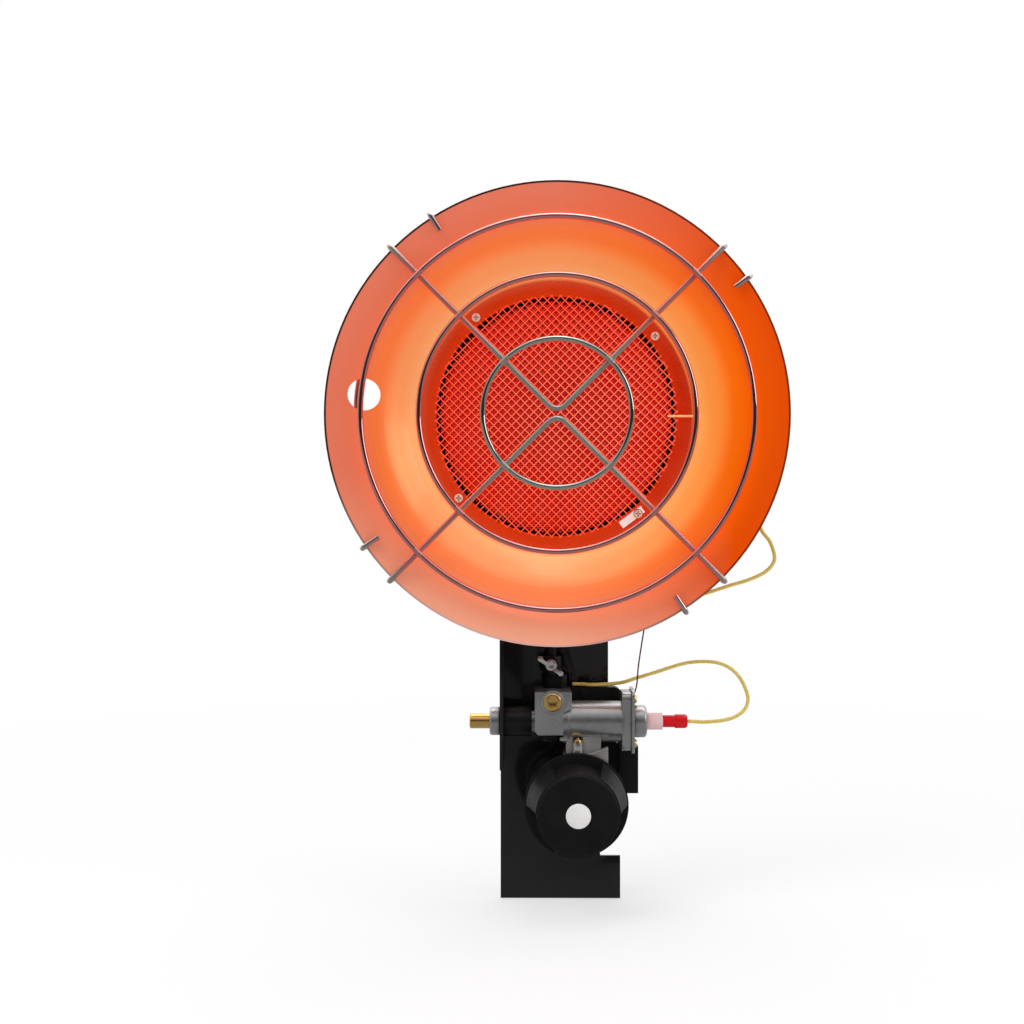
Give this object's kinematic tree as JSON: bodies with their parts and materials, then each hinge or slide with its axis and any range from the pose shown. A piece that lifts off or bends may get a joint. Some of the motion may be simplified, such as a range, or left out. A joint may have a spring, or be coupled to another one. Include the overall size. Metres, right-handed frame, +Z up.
{
  "type": "tank-top propane heater",
  "caption": "Round radiant gas heater head with wire guard, safety valve and control knob that screws onto a gas cylinder's outlet.",
  "frame": {"origin": "centre of the inlet nipple's tip, on the axis of the tank outlet", "axes": "+Z up, +Y back towards the tank valve, the heater shines towards -Y, +X to the right seen from the front"},
  "size_m": [0.25, 0.0972, 0.3954],
  "materials": {
    "reflector_enamel": "glossy, lit orange by the burner",
    "burner_ring_steel": "satin, heated",
    "hot_wire_cloth": "glowing wire cloth",
    "hot_screw": "heat-tinted",
    "burner_steel": "satin sheet",
    "brass": "machined",
    "black_tube": "black oxide",
    "bright_steel": "zinc plated",
    "probe_steel": "heat-tinted",
    "guard_chrome": "bright wire",
    "bracket_paint": "gloss black",
    "black_plastic": "moulded",
    "valve_zinc": "satin die casting",
    "sleeve_silicone": "translucent",
    "terminal_red": "moulded",
    "lead_yellow": "insulated lead",
    "ground_copper": "bare wire",
    "regulator_zinc": "die casting",
    "knob_plastic": "moulded, satin",
    "knob_white": "moulded",
    "seal_rubber": "soft",
    "nut_plastic": "moulded, ribbed"
  },
  "bodies": {
    "heater": {"reflector_dish": "reflector_enamel", "burner_ring": "burner_ring_steel", "ring_screws": "hot_screw", "mesh_front": "hot_wire_cloth", "mesh_spacer": "burner_steel", "mesh_rear": "hot_wire_cloth", "diffuser_plate": "burner_steel", "burner_pan": "burner_steel", "mixing_tube": "burner_steel", "orifice_holder": "brass", "gas_tube": "black_tube", "outlet_union": "black_tube", "tube_clamp": "black_tube", "thermocouple": "probe_steel", "thermocouple_nut": "brass", "ring_bracket": "bright_steel", "guard_outer_ring": "guard_chrome", "guard_middle_ring": "guard_chrome", "guard_inner_ring": "guard_chrome", "guard_upper_wire": "guard_chrome", "guard_lower_wire": "guard_chrome", "guard_rear_ring": "guard_chrome", "guard_hooks": "guard_chrome", "support_bracket": "bracket_paint", "head_bolts": "bright_steel", "tip_switch": "black_plastic", "switch_screws": "black_plastic", "valve_body": "valve_zinc", "valve_plug": "brass", "valve_end_plate": "valve_zinc", "flange_screws": "brass", "valve_end_cap": "valve_zinc", "terminal_sleeve": "sleeve_silicone", "lead_terminal": "terminal_red", "lead_long": "lead_yellow", "lead_rear": "lead_yellow", "ground_wire": "ground_copper", "button_collar": "valve_zinc", "valve_spacer": "black_tube", "port_cap": "black_plastic", "regulator_body": "regulator_zinc", "outlet_pillar": "bright_steel", "pillar_screw": "brass", "regulator_stem": "brass", "bracket_nut": "brass", "inlet_nipple": "brass", "nipple_seal": "seal_rubber"},
    "control_knob": {"pressure_knob": "knob_plastic", "knob_disc": "knob_white"},
    "coupling": {"coupling_nut": "nut_plastic"},
    "button": {"safety_button": "brass"},
    "wing": {"wing_screw": "bright_steel"}
  },
  "joints": [
    {"name": "knob_turn", "type": "hinge", "parent": "heater", "child": "control_knob", "pos_m": [0, -0.08, 0], "axis": [0, -1, 0], "range_deg": [0, 270]},
    {"name": "coupling_turn", "type": "hinge", "parent": "heater", "child": "coupling", "pos_m": [0, -0.013, 0], "axis": [0, 1, 0], "continuous": true},
    {"name": "wing_turn", "type": "hinge", "parent": "heater", "child": "wing", "pos_m": [-0.0134, -0.05, 0.074], "axis": [0, -1, 0], "continuous": true},
    {"name": "button_push", "type": "slide", "parent": "heater", "child": "button", "axis": [1, 0, 0], "range_m": [0, 0.005], "stiffness_N_per_m": 400, "springref_m": -0.003}
  ]
}
